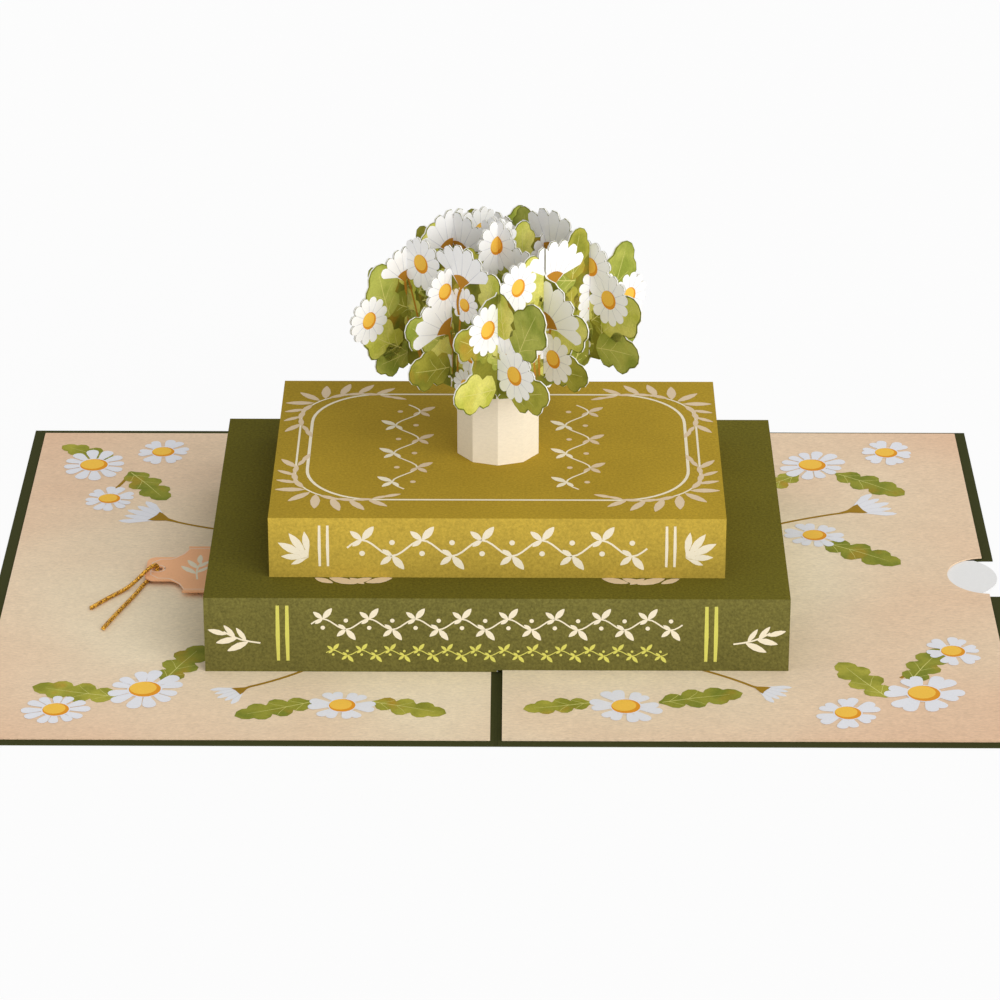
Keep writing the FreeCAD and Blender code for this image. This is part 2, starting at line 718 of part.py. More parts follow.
def rounded_path(route):
    """Straight runs joined by tangent arcs, as large as the two runs allow."""
    points = [FreeCAD.Vector(*place) for place in route]
    edges = []
    start = points[0]
    for before, corner, after in zip(points, points[1:], points[2:]):
        back = before - corner
        ahead = after - corner
        trim = CORD_BEND_SHARE * min(back.Length, ahead.Length)
        back.normalize()
        ahead.normalize()
        half_turn = (math.pi - back.getAngle(ahead)) / 2
        radius = trim / math.tan(half_turn)
        print(f"cord bend at {tuple(corner)}: radius {radius:.2f}")
        bisector = back + ahead
        bisector.normalize()
        enter = corner + back * trim
        leave = corner + ahead * trim
        through = corner + bisector * (radius / math.cos(half_turn) - radius)
        edges.append(Part.LineSegment(start, enter).toShape())
        edges.append(Part.Arc(enter, through, leave).toShape())
        start = leave
    edges.append(Part.LineSegment(start, points[-1]).toShape())
    return Part.Wire(edges)


def make_cord():
    """The twisted cord as a plain tube along its route."""
    radius = size("cord_radius").value
    path = rounded_path(CORD_ROUTE)
    start = path.Edges[0]
    direction = start.tangentAt(start.FirstParameter)
    circle = Part.Circle(start.Vertexes[0].Point, direction, radius)
    section = Part.Wire([circle.toShape()])
    tube = path.makePipeShell([section], True, True)
    expected = math.pi * radius ** 2 * path.Length
    print(f"cord length {path.Length:.2f}, volume {tube.Volume:.3f}, expected {expected:.3f}")
    cord = doc.addObject("Part::Feature", "gold_cord")
    cord.Label = "gold_cord"
    cord.Shape = tube
    return cord


def build_parts():
    """Makes every piece of the card, from the table upwards."""
    parts = [make_cover(), make_left_liner(), make_right_liner(), make_note_card()]
    lower = make_book("lower_book", size("lower_width"), size("lower_depth"),
                      size("lower_height"), left_level, pocket_gap)
    cut_tag_slot(lower)
    parts.append(lower)
    parts += make_book_ribs("lower", size("lower_width"), size("lower_depth"), size("cover_thick"),
                            left_level, lower_top, size("lower_rib_offset"), pocket_gap)
    upper = make_book("upper_book", size("upper_width"), size("upper_depth"),
                      size("upper_height"), lower_top, ZERO)
    cut_stem_slots(upper, size("upper_height"))
    parts.append(upper)
    parts += make_book_ribs("upper", size("upper_width"), size("upper_depth"), lower_top,
                            lower_top, upper_top, size("upper_rib_offset"), ZERO)
    parts.append(make_vase())
    parts += make_bouquet()
    parts += [make_tag(), make_cord()]
    return parts


def check_document(parts):
    """Stops if any object failed or any piece is not one valid solid."""
    for item in doc.Objects:
        if "Invalid" in item.State or "Error" in item.State:
            raise RuntimeError(f"{item.Label} failed: {item.State}")
    for part in parts:
        shape = part.Shape
        if shape.isNull() or not shape.isValid() or len(shape.Solids) != 1:
            raise RuntimeError(f"{part.Label} is not one valid solid")


def write_parts(parts):
    """Writes each piece to its own file."""
    os.makedirs("parts", exist_ok=True)
    for part in parts:
        part.Shape.exportStep(f"parts/{part.Label}.step")
        box = part.Shape.BoundBox
        print(f"{part.Label}: volume {part.Shape.Volume:.1f}, x {box.XMin:.2f} {box.XMax:.2f},"
              f" y {box.YMin:.2f} {box.YMax:.2f}, z {box.ZMin:.2f} {box.ZMax:.2f}")


all_parts = build_parts()
doc.recompute()
check_document(all_parts)
write_parts(all_parts)
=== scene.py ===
import math
import random

import bmesh
import bpy
from mathutils import Matrix, Vector
from mathutils.geometry import tessellate_polygon


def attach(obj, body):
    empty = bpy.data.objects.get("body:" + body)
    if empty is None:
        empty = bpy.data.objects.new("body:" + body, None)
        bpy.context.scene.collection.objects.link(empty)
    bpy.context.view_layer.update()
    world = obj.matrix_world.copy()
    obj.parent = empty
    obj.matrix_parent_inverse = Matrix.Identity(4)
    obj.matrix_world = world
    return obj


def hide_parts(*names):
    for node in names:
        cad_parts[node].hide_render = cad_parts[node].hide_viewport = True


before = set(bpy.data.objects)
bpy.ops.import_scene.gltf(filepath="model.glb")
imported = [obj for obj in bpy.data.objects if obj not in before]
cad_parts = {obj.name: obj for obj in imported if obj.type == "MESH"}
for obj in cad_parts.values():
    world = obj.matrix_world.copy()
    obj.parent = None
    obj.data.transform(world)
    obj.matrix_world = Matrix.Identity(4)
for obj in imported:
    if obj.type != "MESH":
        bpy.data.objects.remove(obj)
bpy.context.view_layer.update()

MM = 0.001
DIAGONAL = math.sqrt(0.5)

# sizes of the card, repeated from the solids, in millimetres
PAPER = 0.35
LEFT_TOP = 0.7
RIGHT_TOP = 1.2
LOWER_BOOK = (71.0, 52.5, 20.7)
UPPER_BOOK = (55.6, 41.1, 36.7)
TAG_TOP = 2.25
NOTE_TOP = 0.775
BLADE_PITCH = 15.9
BLADE_MIDDLE = 78.0
BUSH_MIDDLE = 74.65
BUSH_REACH = (25.0, 16.35)
BUSH_LOBES = 14
FULLNESS = 1.4

# how far the tint of the panels reaches, in metres
PANEL_REACH = (0.127, 0.094)

# how far the upper book's corner twigs go, and half the gap left for a slot, in millimetres
TOP_PRINT_REACH = (54.8, 40.4)
SLOT_HALF = 0.30
PETALS = 12

# the cord's strands, in millimetres
STRANDS = 3
STRAND_RADIUS = 0.33
STRAND_SIDES = 7
TWIST_PITCH = 2.3
RING_STEP = 0.14

# the floor's glow to the camera, the light and the camera, in metres and degrees
FLOOR_HALF = 4.0
FLOOR_DROP = 0.0001
FLOOR_GLOW = 0.90
FILL_STRENGTH = 0.58
KEY_ENERGY = 1.95
KEY_ANGLE = 58
KEY_TOWARD = (0.55, -0.70, 0.46)
CAMERA_LENS = 152.926
CAMERA_PLACE = (0.005174, -0.968507, 0.483507)
CAMERA_RIGHT = Vector((0.99998689, 0.00509064, 0.00055298))
CAMERA_UPWARD = Vector((-0.00268862, 0.4300755, 0.90278892))
CAMERA_AHEAD = Vector((-0.00435796, 0.90277857, -0.43008355))


# materials

def linear(red, green, blue):
    """A display colour from 0 to 255 as the linear colour a shader wants."""
    def one(value):
        value /= 255
        return value / 12.92 if value <= 0.04045 else ((value + 0.055) / 1.055) ** 2.4
    return (one(red), one(green), one(blue), 1.0)


class Nodes:
    """A small helper that adds and links shader nodes."""

    def __init__(self, name):
        self.material = bpy.data.materials.new(name)
        self.material.use_nodes = True
        self.tree = self.material.node_tree
        self.shader = self.tree.nodes["Principled BSDF"]
        self.place = self.tree.nodes.new("ShaderNodeTexCoord").outputs["Object"]

    def add(self, kind, inputs=None, **settings):
        node = self.tree.nodes.new(kind)
        for key, value in settings.items():
            setattr(node, key, value)
        for key, value in (inputs or {}).items():
            self.feed(node.inputs[key], value)
        return node

    def feed(self, socket, value):
        if isinstance(value, bpy.types.NodeSocket):
            self.tree.links.new(value, socket)
        else:
            socket.default_value = value

    def noise(self, scale, detail=2.0, stretch=(1, 1, 1), roughness=0.5):
        mapping = self.add("ShaderNodeMapping", {"Vector": self.place, "Scale": stretch})
        noise = self.add("ShaderNodeTexNoise", {
            "Vector": mapping.outputs["Vector"], "Scale": scale, "Detail": detail,
            "Roughness": roughness})
        return noise.outputs["Fac"]

    def spread(self, value, low, high, to_low=0.0, to_high=1.0):
        node = self.add("ShaderNodeMapRange", {
            "Value": value, "From Min": low, "From Max": high,
            "To Min": to_low, "To Max": to_high}, clamp=True)
        return node.outputs["Result"]

    def mix(self, factor, first, second, blend="MIX"):
        node = self.add("ShaderNodeMix", data_type="RGBA", blend_type=blend)
        self.feed(node.inputs["Factor"], factor)
        self.feed(node.inputs["A"], first)
        self.feed(node.inputs["B"], second)
        return node.outputs["Result"]

    def shade(self, colour, factor, low, high):
        """Multiplies a colour by a grey between low and high."""
        grey = self.spread(factor, 0.25, 0.75, low, high)
        combine = self.add("ShaderNodeCombineColor", {"Red": grey, "Green": grey, "Blue": grey})
        return self.mix(1.0, colour, combine.outputs["Color"], "MULTIPLY")

    def bump(self, height, distance, strength=0.6):
        node = self.add("ShaderNodeBump", {
            "Height": height, "Distance": distance, "Strength": strength})
        self.feed(self.shader.inputs["Normal"], node.outputs["Normal"])

    def done(self, colour, roughness=0.88, specular=0.08):
        self.feed(self.shader.inputs["Base Color"], colour)
        self.shader.inputs["Roughness"].default_value = roughness
        self.shader.inputs["Specular IOR Level"].default_value = specular
        return self.material


def paper(name, colour, grain=0.07, mottle=0.05, grain_size=0.5, bump=0.00004, stretch=(1, 1, 1)):
    """Uncoated paper: a colour with fine grain, slow mottling and a soft tooth."""
    nodes = Nodes(name)
    fine = nodes.noise(1000 / grain_size, 3.0, stretch, 0.65)
    slow = nodes.noise(60, 2.0)
    tinted = nodes.shade(colour, fine, 1 - grain, 1 + grain)
    tinted = nodes.shade(tinted, slow, 1 - mottle, 1 + mottle)
    nodes.bump(nodes.noise(2600, 3.0), bump)
    return nodes.done(tinted)


def liner_paper():
    """Pale cream by the books, partly print and partly painted light that thins the books' shadows there,
    warming to peach at the outer edges, with a fine grain.
    """
    nodes = Nodes("liner_print_and_painted_light_ground")
    scaled = nodes.add("ShaderNodeVectorMath", {
        0: nodes.place, 1: (1 / PANEL_REACH[0], 1 / PANEL_REACH[1], 0.0)}, operation="MULTIPLY")
    radius = nodes.add("ShaderNodeVectorMath", {0: scaled.outputs["Vector"]}, operation="LENGTH")
    wave = nodes.noise(14, 2.0)
    blurred = nodes.add("ShaderNodeMath", {0: radius.outputs["Value"], 1: wave}, operation="ADD")
    near = nodes.spread(blurred.outputs["Value"], 1.0, 1.28)
    far = nodes.spread(blurred.outputs["Value"], 1.15, 1.85)
    # partly painted light: the palest cream by the books is print lifted further to thin the books' shadows
    ground = nodes.mix(near, linear(252, 236, 204), linear(240, 223, 193))
    ground = nodes.mix(far, ground, linear(235, 198, 166))
    ground = nodes.shade(ground, nodes.noise(1500, 3.0, (0.55, 1.2, 1.0), 0.7), 0.865, 1.11)
    ground = nodes.shade(ground, nodes.noise(420, 2.0, (0.8, 1.2, 1.0)), 0.96, 1.035)
    ground = nodes.shade(ground, nodes.noise(90, 3.0), 0.98, 1.02)
    nodes.bump(nodes.noise(1800, 2.0), 0.00005)
    return nodes.done(ground)


def book_paper(name, top_colour, front_colour, speckle, middle, half):
    """Speckled book covering; the spine, at the front, is printed lighter towards its top, and the top
    carries painted shade, darker to the left and lighter to the right.
    """
    nodes = Nodes(name)
    normal = nodes.add("ShaderNodeSeparateXYZ", {
        "Vector": nodes.add("ShaderNodeNewGeometry").outputs["True Normal"]})
    forward = nodes.add("ShaderNodeMath", {0: normal.outputs["Y"], 1: -1.0}, operation="MULTIPLY")
    facing = nodes.spread(forward.outputs["Value"], 0.3, 0.8)
    height = nodes.add("ShaderNodeSeparateXYZ", {"Vector": nodes.place}).outputs["Z"]
    rise = nodes.spread(height, middle - half, middle + half)
    along = nodes.add("ShaderNodeSeparateXYZ", {"Vector": nodes.place}).outputs["X"]
    # painted shade: the top is darkened towards the left and lightened towards the right
    top = nodes.shade(top_colour, nodes.spread(along, -0.07, 0.07, 0.25, 0.75), 0.90, 1.08)
    front = nodes.shade(front_colour, nodes.spread(rise, 0.0, 1.0, 0.25, 0.75), 0.90, 1.10)
    ground = nodes.mix(facing, top, front)
    ground = nodes.shade(ground, nodes.noise(1500, 3.0, roughness=0.7), 1 - speckle, 1 + speckle)
    ground = nodes.shade(ground, nodes.noise(38, 3.0), 0.92, 1.08)
    nodes.bump(nodes.noise(2200, 3.0), 0.00005)
    return nodes.done(ground)


def ink(name, colour, mottle=0.06, grain=0.05):
    return paper(name, linear(*colour), grain, mottle, 0.45, 0.00002)


def leaf_ink(name, light, dark, warm):
    """Leaf print: a slow wandering between three tones, with a fine grain."""
    nodes = Nodes(name)
    wander = nodes.spread(nodes.noise(150, 2.0), 0.40, 0.62)
    patch = nodes.spread(nodes.noise(105, 2.0, (1.3, 1.1, 0.8)), 0.56, 0.70, 0.0, 0.75)
    ground = nodes.mix(wander, linear(*light), linear(*dark))
    ground = nodes.mix(patch, ground, linear(*warm))
    ground = nodes.shade(ground, nodes.noise(1900, 3.0, roughness=0.7), 0.84, 1.14)
    nodes.bump(nodes.noise(2600, 3.0), 0.00002)
    return nodes.done(ground)


def blade_paper(name, outward):
    """A blade's sheet: olive print on both faces and white along the cut edges."""
    nodes = Nodes(name)
    normal = nodes.add("ShaderNodeNewGeometry").outputs["True Normal"]
    facing = nodes.add("ShaderNodeVectorMath", {0: normal, 1: outward}, operation="DOT_PRODUCT")
    size = nodes.add("ShaderNodeMath", {0: facing.outputs["Value"]}, operation="ABSOLUTE")
    printed = nodes.spread(size.outputs["Value"], 0.6, 0.8)
    wander = nodes.spread(nodes.noise(150, 2.0), 0.38, 0.64)
    ground = nodes.mix(wander, linear(140, 142, 52), linear(118, 126, 46))
    ground = nodes.shade(ground, nodes.noise(2400, 3.0), 0.90, 1.10)
    ground = nodes.mix(printed, linear(242, 240, 234), ground)
    nodes.bump(nodes.noise(2600, 3.0), 0.00003)
    return nodes.done(ground)


def cord_metal():
    """Gold thread: painted glints and painted shade, as brighter and darker patches along a twisted strand.
    """
    nodes = Nodes("gold_thread")
    # painted glints and painted shade: noise mixes dark brown and bright gold along the thread
    painted_glint = nodes.noise(2100, 2.0, roughness=0.8)
    colour = nodes.mix(nodes.spread(painted_glint, 0.40, 0.58), linear(112, 54, 2), linear(255, 196, 66))
    nodes.bump(nodes.noise(3800, 2.0), 0.0001, 0.9)
    material = nodes.done(colour, 0.36, 0.5)
    nodes.shader.inputs["Metallic"].default_value = 0.45
    return material


def dress(node, *materials):
    """Gives a carried-over solid its material in every slot."""
    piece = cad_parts[node]
    piece.data.materials.clear()
    for material in materials:
        piece.data.materials.append(material)


INKS = {
    "petal": ink("petal_white", (252, 252, 252), 0.015, 0.02),
    "petal_line": ink("petal_line", (222, 223, 229), 0.03, 0.03),
    "liner_petal": ink("liner_petal", (234, 235, 241), 0.03, 0.04),
    "centre": ink("centre_yellow", (250, 200, 82), 0.05, 0.05),
    "centre_shade": ink("centre_orange", (232, 156, 46), 0.05, 0.05),
    "lime": leaf_ink("leaf_lime", (222, 218, 118), (192, 194, 80), (210, 196, 92)),
    "olive": leaf_ink("leaf_olive", (176, 172, 70), (142, 144, 52), (186, 148, 54)),
    "green": leaf_ink("leaf_green", (180, 184, 88), (144, 156, 62), (184, 176, 78)),
    "deep": leaf_ink("bush_deep", (136, 134, 48), (108, 112, 38), (188, 132, 38)),
    "moss": leaf_ink("leaf_moss", (154, 154, 60), (128, 136, 50), (170, 144, 52)),
    "vein": ink("leaf_vein", (214, 210, 124), 0.06, 0.04),
    "stem": ink("stem_brown", (186, 132, 46), 0.12, 0.06),
    "calyx": ink("calyx_ochre", (162, 126, 40), 0.10, 0.06),
    "cream": ink("cream_line", (243, 233, 208), 0.03, 0.04),
    "rose": ink("rose_cream", (226, 204, 172), 0.05, 0.05),
    "lemon": ink("lemon_line", (216, 212, 104), 0.05, 0.05),
    "tag_line": ink("tag_line", (250, 218, 192), 0.03, 0.03),
    "rule": ink("note_rule", (196, 196, 176), 0.03, 0.03),
}


# flat prints

class Print:
    """Flat printed shapes, stacked in thin layers on one face of a sheet."""

    LIFT = 0.012
    LAYER = 0.009
    STEP = 0.0015

    def __init__(self, name, body, origin, across, upward, mirrored=False):
        self.name = name
        self.body = body
        self.origin = Vector(origin)
        self.across = Vector(across)
        self.upward = Vector(upward)
        self.normal = self.across.cross(self.upward)
        self.flip = -1 if mirrored else 1
        self.mesh = bmesh.new()
        self.used = []
        self.count = 0

    def slot(self, colour):
        if colour not in self.used:
            self.used.append(colour)
        return self.used.index(colour)

    def point(self, x, y, layer):
        place = (self.origin + self.across * (x * self.flip) + self.upward * y
                 + self.normal * (self.LIFT + self.LAYER * layer + self.STEP * (self.count % 6)))
        return self.mesh.verts.new(place * MM)

    def face(self, corners, colour):
        face = self.mesh.faces.new(corners)
        face.normal_update()
        if face.normal.dot(self.normal) < 0:
            face.normal_flip()
        face.material_index = self.slot(colour)

    def shape(self, points, colour, layer):
        self.count += 1
        corners = [self.point(x, y, layer) for x, y in points]
        flat = [Vector((x, y, 0)) for x, y in points]
        for triple in tessellate_polygon([flat]):
            self.face([corners[index] for index in triple], colour)

    def ribbon(self, points, width, colour, layer):
        """A line of one width, or of a width for each point."""
        widths = width if isinstance(width, list) else [width] * len(points)
        rails = []
        self.count += 1
        for index, (x, y) in enumerate(points):
            before = points[max(index - 1, 0)]
            after = points[min(index + 1, len(points) - 1)]
            along = Vector((after[0] - before[0], after[1] - before[1])).normalized()
            half = widths[index] / 2
            rails.append((self.point(x - along.y * half, y + along.x * half, layer),
                          self.point(x + along.y * half, y - along.x * half, layer)))
        for (a, b), (c, d) in zip(rails, rails[1:]):
            self.face([a, b, d, c], colour)

    def cut_strip(self, centre, half, level, way):
        """Clears the print from a slot that runs up (way 1) or down (way -1) from a level."""
        axis = self.across * self.flip
        for edge in (centre - half, centre + half):
            bmesh.ops.bisect_plane(
                self.mesh, geom=self.mesh.verts[:] + self.mesh.edges[:] + self.mesh.faces[:],
                plane_co=(self.origin + axis * edge) * MM, plane_no=axis, dist=1e-7)
        inside = []
        for face in self.mesh.faces:
            reach = (face.calc_center_median() / MM - self.origin).dot(axis)
            if abs(reach - centre) < half:
                inside.append(face)
        rims = list({edge for face in inside for edge in face.edges})
        corners = list({corner for face in inside for corner in face.verts})
        parted = bmesh.ops.bisect_plane(
            self.mesh, geom=corners + rims + inside, plane_co=(self.origin + self.upward * level) * MM,
            plane_no=self.upward, dist=1e-7)
        cleared = []
        for face in parted["geom"]:
            if isinstance(face, bmesh.types.BMFace):
                rise = (face.calc_center_median() / MM - self.origin).dot(self.upward) - level
                if rise * way > 0:
                    cleared.append(face)
        bmesh.ops.delete(self.mesh, geom=cleared, context="FACES")

    def finish(self):
        data = bpy.data.meshes.new(self.name)
        self.mesh.to_mesh(data)
        self.mesh.free()
        for colour in self.used:
            data.materials.append(INKS[colour])
        piece = bpy.data.objects.new(self.name, data)
        bpy.context.scene.collection.objects.link(piece)
        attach(piece, self.body)
        return piece


def turned(x, y, reach, angle, shape):
    """Puts a motif's own points (ahead, to the left) on the sheet."""
    cosine = math.cos(math.radians(angle)) * reach
    sine = math.sin(math.radians(angle)) * reach
    return [(x + p * cosine - q * sine, y + p * sine + q * cosine) for p, q in shape]


def both_sides(shape):
    """Completes a half outline with its mirror image."""
    return shape + [(p, -q) for p, q in reversed(shape) if q]


def oval(x, y, radius_x, radius_y, count=20):
    steps = [2 * math.pi * step / count for step in range(count)]
    return [(x + radius_x * math.cos(turn), y + radius_y * math.sin(turn)) for turn in steps]


PETAL = both_sides([(0.26, 0.0), (0.40, 0.075), (0.58, 0.125), (0.74, 0.165), (0.86, 0.172),
                    (0.94, 0.135), (0.985, 0.065), (0.995, 0.0)])
LEAF = both_sides([(0.01, 0.0), (0.06, 0.13), (0.145, 0.26), (0.27, 0.285), (0.365, 0.225), (0.455, 0.315),
                   (0.515, 0.345), (0.57, 0.352), (0.63, 0.335), (0.675, 0.305), (0.745, 0.225),
                   (0.86, 0.195), (0.92, 0.155), (0.96, 0.095), (0.985, 0.0)])
FINGER_LEAF = both_sides([(0.0, 0.0), (0.2, 0.035), (0.42, 0.10), (0.62, 0.125), (0.8, 0.09), (0.93, 0.035),
                          (1.0, 0.0)])
SLIM_LEAF = both_sides([(0.0, 0.0), (0.2, 0.10), (0.45, 0.15), (0.72, 0.12), (0.92, 0.05), (1.0, 0.0)])
PLUMP_LEAF = both_sides([(0.0, 0.0), (0.12, 0.09), (0.32, 0.18), (0.55, 0.205), (0.78, 0.14), (0.92, 0.07),
                         (1.0, 0.0)])
FERN_LEAF = both_sides([(0.0, 0.02), (0.06, 0.07), (0.12, 0.15), (0.19, 0.18), (0.26, 0.15), (0.29, 0.11),
                        (0.33, 0.18), (0.41, 0.23), (0.49, 0.21), (0.53, 0.15), (0.56, 0.12), (0.60, 0.18),
                        (0.68, 0.215), (0.76, 0.185), (0.80, 0.13), (0.86, 0.14), (0.94, 0.10), (1.0, 0.0)])
ROUND_PETAL = ((0.0, 0.79), (0.08, 0.87), (0.2, 0.945), (0.35, 0.98), (0.5, 0.995), (0.65, 0.98),
               (0.8, 0.945), (0.92, 0.87))
BROAD_LOBE = ((0.0, 0.925), (0.3, 0.985), (0.7, 0.985))


def lobed(x, y, reach_x, reach_y, lobes, profile, fullness=1.0, turn=0.0):
    """Equal lobes about an ellipse; fullness above one fills its corners."""
    points = []
    for lobe in range(lobes):
        for share, reach in profile:
            angle = 2 * math.pi * (lobe + share) / lobes + math.radians(turn)
            p = math.copysign(abs(math.cos(angle)) ** (1 / fullness), math.cos(angle))
            q = math.copysign(abs(math.sin(angle)) ** (1 / fullness), math.sin(angle))
            points.append((x + reach * reach_x * p, y + reach * reach_y * q))
    return points


def draw_core(sheet, x, y, radius, layer):
    core = 0.36 * radius
    sheet.shape(oval(x, y, core, core), "centre_shade", layer)
    sheet.shape(oval(x - 0.04 * radius, y + 0.05 * radius, core * 0.84, core * 0.82), "centre", layer + 1)


def draw_daisy(sheet, x, y, radius, layer, turn=0.0):
    """A full daisy of twelve round petals, parted by thin grey lines."""
    sheet.shape(lobed(x, y, radius, radius, PETALS, ROUND_PETAL, 1.0, turn), "petal", layer)
    for petal in range(PETALS):
        angle = turn + 360 / PETALS * petal
        sheet.ribbon(turned(x, y, radius, angle, [(0.34, 0.0), (0.60, 0.0), (0.80, 0.0)]),
                     [0.20, 0.15, 0.05], "petal_line", layer + 1)
    draw_core(sheet, x, y, radius, layer + 2)


def draw_loose_daisy(sheet, x, y, radius, layer, turn=0.0):
    """A daisy of separate long petals, each of its own length and lean."""
    for petal in range(PETALS):
        angle = turn + 360 / PETALS * petal + 4 * math.sin(3.1 * petal + y)
        length = radius * (0.91 + 0.09 * math.sin(5.3 * petal + x))
        sheet.shape(turned(x, y, length, angle, PETAL), "liner_petal", layer)
    sheet.shape(oval(x, y, 0.42 * radius, 0.42 * radius), "liner_petal", layer + 1)
    draw_core(sheet, x, y, radius * 1.06, layer + 2)


def draw_bud(sheet, x, y, reach, angle, layer):
    """A bud on the liner: a ragged cup of petals in an ochre calyx."""
    cup = [(0.34, -0.12)]
    for petal in range(5):
        for share, length in ((0.06, 0.80), (0.24, 0.93), (0.5, 1.0), (0.76, 0.93), (0.94, 0.80)):
            turn = math.radians(64 * (petal + share) / 5 - 32)
            length -= 0.05 * (petal % 2)
            cup.append((length * math.cos(turn), length * math.sin(turn)))
    cup.append((0.34, 0.12))
    sheet.shape(turned(x, y, reach, angle, cup), "liner_petal", layer)
    for petal in (-1.5, -0.5, 0.5, 1.5):
        sheet.ribbon(turned(x, y, reach, angle + petal * 12.8, [(0.42, 0.0), (0.66, 0.0), (0.80, 0.0)]),
                     [0.16, 0.20, 0.08], "petal_line", layer + 1)
    calyx = [(0.0, -0.025), (0.2, -0.05), (0.40, -0.17), (0.47, -0.19), (0.45, -0.06), (0.46, 0.05),
             (0.48, 0.18), (0.40, 0.16), (0.2, 0.05), (0.0, 0.025)]
    sheet.shape(turned(x, y, reach, angle, calyx), "calyx", layer + 2)


def draw_leaf(sheet, x, y, reach, angle, colour, layer, shape=LEAF, vein=(0.12, 0.34)):
    sheet.shape(turned(x, y, reach, angle, shape), colour, layer)
    sheet.ribbon(turned(x, y, reach, angle, [(0.04, 0.0), (0.45, 0.012), (0.84, 0.0)]),
                 [0.26, 0.20, 0.08], "vein", layer + 1)
    for start in vein:
        for side in (-1, 1):
            sheet.ribbon(turned(x, y, reach, angle, [(start, 0.0), (start + 0.12, side * 0.10),
                                                     (start + 0.20, side * 0.20)]),
                         [0.13, 0.11, 0.04], "vein", layer + 1)


def draw_bell(sheet, x, y, reach, angle, layer):
    """A half-open daisy: petals fanned above an ochre calyx."""
    fan = [(0.0, 0.0), (0.22, -0.25)]
    for petal in range(6):
        for share, length in ((0.0, 0.82), (0.12, 0.89), (0.3, 0.955), (0.5, 0.965), (0.7, 0.955),
                              (0.88, 0.89)):
            turn = math.radians(124 * (petal + share) / 6 - 62)
            fan.append((length * math.cos(turn), length * math.sin(turn)))
    edge = math.radians(61.5)
    fan += [(0.82 * math.cos(edge), 0.82 * math.sin(edge)), (0.22, 0.25)]
    sheet.shape(turned(x, y, reach, angle, fan), "petal", layer)
    for petal in (-2, -1, 0, 1, 2):
        sheet.ribbon(turned(x, y, reach, angle + petal * 20.7, [(0.30, 0.0), (0.60, 0.0), (0.84, 0.0)]),
                     [0.22, 0.15, 0.05], "petal_line", layer + 1)
    cup = [(0.0, -0.02), (0.12, -0.12), (0.24, -0.24), (0.28, -0.16), (0.31, -0.06), (0.31, 0.06),
           (0.28, 0.16), (0.24, 0.24), (0.12, 0.12), (0.0, 0.02)]
    sheet.shape(turned(x, y, reach, angle, cup), "stem", layer + 2)


def draw_stem(sheet, start, finish, bend, width, colour, layer):
    """A gently bowed stalk."""
    points = []
    for step in range(9):
        share = step / 8
        bow = bend * 4 * share * (1 - share)
        x = start[0] + (finish[0] - start[0]) * share
        y = start[1] + (finish[1] - start[1]) * share
        along = Vector((finish[0] - start[0], finish[1] - start[1])).normalized()
        points.append((x - along.y * bow, y + along.x * bow))
    sheet.ribbon(points, width, colour, layer)


def draw_branch(sheet, x, y, reach, angle, side, colour, layer):
    """A bowed branch with slim leaves along it, like a cut laurel."""
    line = [(0.0, 0.0), (0.25, 0.05), (0.5, 0.08), (0.75, 0.07), (1.0, 0.02)]
    curve = [(p, q * side) for p, q in line]
    sheet.ribbon(turned(x, y, reach, angle, curve), reach * 0.045, colour, layer)
    for share, lean, size in ((0.90, 4, 0.50), (0.60, 34, 0.58), (0.66, -30, 0.46), (0.30, 46, 0.62),
                              (0.36, -36, 0.46)):
        base = turned(x, y, reach, angle, [(share, 0.07 * side)])[0]
        sheet.shape(turned(*base, reach * size, angle + lean * side, SLIM_LEAF), colour, layer)


def draw_garland(sheet, start, finish, height, leaf, colours, layer):
    """A waving stalk with leaves on both sides and a dot between them."""
    length = finish[0] - start[0]
    upright = finish[1] - start[1]
    span = math.hypot(length, upright)
    angle = math.degrees(math.atan2(upright, length))
    waves = max(2, round(span / (leaf * 3.1)))
    count = waves * 12
    line = []
    for step in range(count + 1):
        share = step / count
        line.append((share, height * 0.5 * math.sin(2 * math.pi * waves * share) / span))
    sheet.ribbon(turned(start[0], start[1], span, angle, line), leaf * 0.10, colours[0], layer)
    for wave in range(2 * waves):
        share = (wave + 0.5) / (2 * waves)
        side = 1 if wave % 2 == 0 else -1
        crest = turned(start[0], start[1], span, angle, [(share, side * height * 0.5 / span)])[0]
        colour = colours[wave % len(colours)]
        sheet.shape(turned(*crest, leaf, angle + side * 52, PLUMP_LEAF), colour, layer)
        sheet.shape(turned(*crest, leaf * 0.8, angle + 180 - side * 40, PLUMP_LEAF), colour, layer)
        sheet.shape(turned(*crest, leaf * 0.62, angle + 180 + side * 35, PLUMP_LEAF), colour, layer)
        low = turned(start[0], start[1], span, angle, [(share, -side * height * 0.35 / span)])[0]
        sheet.shape(oval(*low, leaf * 0.15, leaf * 0.15, 10), colours[-1], layer)


# prints of the two liners

def liner_print(name, height, daisies, leaves, bells, stems):
    sheet = Print(name, "card", (0, 0, height), (1, 0, 0), (0, 1, 0))
    for start, finish, bend in stems:
        draw_stem(sheet, start, finish, bend, 0.9, "calyx", 0)
    for x, y, reach, angle, colour in leaves:
        draw_leaf(sheet, x, y, reach, angle, colour, 1, FERN_LEAF)
    for x, y, reach, angle in bells:
        draw_bud(sheet, x, y, reach, angle, 3)
    for x, y, radius, turn in daisies:
        draw_loose_daisy(sheet, x, y, radius, 8, turn)
    return sheet.finish()


